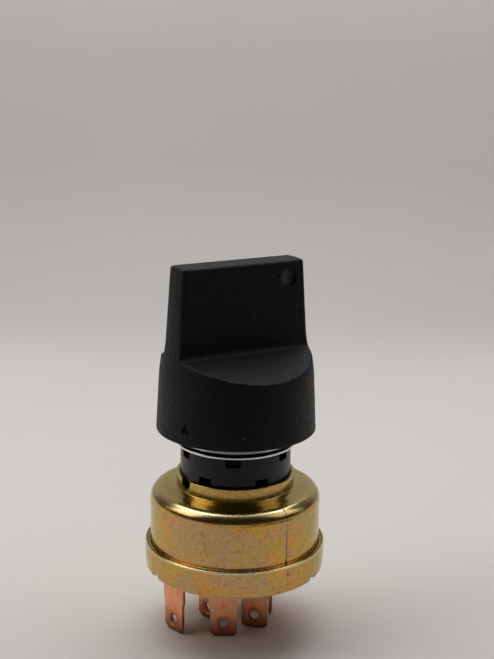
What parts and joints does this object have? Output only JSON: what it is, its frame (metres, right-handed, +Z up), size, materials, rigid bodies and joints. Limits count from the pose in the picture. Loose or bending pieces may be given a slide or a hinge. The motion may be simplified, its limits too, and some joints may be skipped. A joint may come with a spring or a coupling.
{
  "type": "rotary selector switch",
  "caption": "Panel-mount rotary selector switch: winged black knob, chrome bezel nut, yellow-plated steel can and copper blade terminals.",
  "frame": {"origin": "on the shaft's axis, in the plane of the blade tips", "axes": "+Z up the shaft towards the knob, -Y towards the front as pictured, +X to the right"},
  "size_m": [0.0422, 0.0422, 0.0886],
  "materials": {
    "zinc_plate": "yellow passivated zinc plating, mottled gold and olive",
    "knob_plastic": "fine-grained satin black moulding",
    "black_resin": "semi-gloss black moulding",
    "chrome": "polished chrome",
    "copper": "bare stamped copper, slightly tarnished",
    "silver": "silver contact rivets",
    "steel": "plain steel",
    "phenolic_board": "brown-black laminate",
    "gasket_fibre": "vulcanised fibre",
    "nylon": "natural nylon",
    "rubber": "black nitrile rubber"
  },
  "bodies": {
    "housing": {"housing_can": "zinc_plate", "crimp_ring": "zinc_plate", "terminal_board": "phenolic_board", "board_gasket": "gasket_fibre", "neck_bushing": "black_resin", "detent_ring": "nylon", "panel_spacer": "black_resin", "bezel_nut": "chrome", "shaft_seal": "rubber", "battery_blade": "copper", "battery_contact": "silver", "ignition_blade": "copper", "ignition_contact": "silver", "accessory_blade": "copper", "accessory_contact": "silver", "starter_blade": "copper", "starter_contact": "silver", "heater_blade": "copper", "heater_contact": "silver"},
    "rotor": {"shaft": "steel", "shaft_clip": "steel", "contact_carrier": "nylon", "bridge_spring_1": "steel", "bridge_spring_2": "steel", "bridge_spring_3": "steel", "detent_spring_1": "steel", "detent_spring_2": "steel", "return_spring": "steel", "knob": "knob_plastic", "knob_clip": "steel"},
    "bridge": {"contact_bridge": "copper"},
    "ball_1": {"detent_ball_1": "steel"},
    "ball_2": {"detent_ball_2": "steel"}
  },
  "joints": [
    {"name": "selector_turn", "type": "hinge", "parent": "housing", "child": "rotor", "pos_m": [0, 0, 0.045], "axis": [0, 0, 1], "range_deg": [-80, 40]},
    {"name": "bridge_float", "type": "slide", "parent": "rotor", "child": "bridge", "axis": [0, 0, 1], "range_m": [0, 0.0004], "stiffness_N_per_m": 600, "deforming": ["bridge_spring_1", "bridge_spring_2", "bridge_spring_3"]},
    {"name": "detent_press_1", "type": "slide", "parent": "rotor", "child": "ball_1", "axis": [1, 0, 0], "range_m": [0, 0.0005], "stiffness_N_per_m": 500, "deforming": ["detent_spring_1"]},
    {"name": "detent_press_2", "type": "slide", "parent": "rotor", "child": "ball_2", "axis": [-1, 0, 0], "range_m": [0, 0.0005], "stiffness_N_per_m": 500, "deforming": ["detent_spring_2"]}
  ]
}
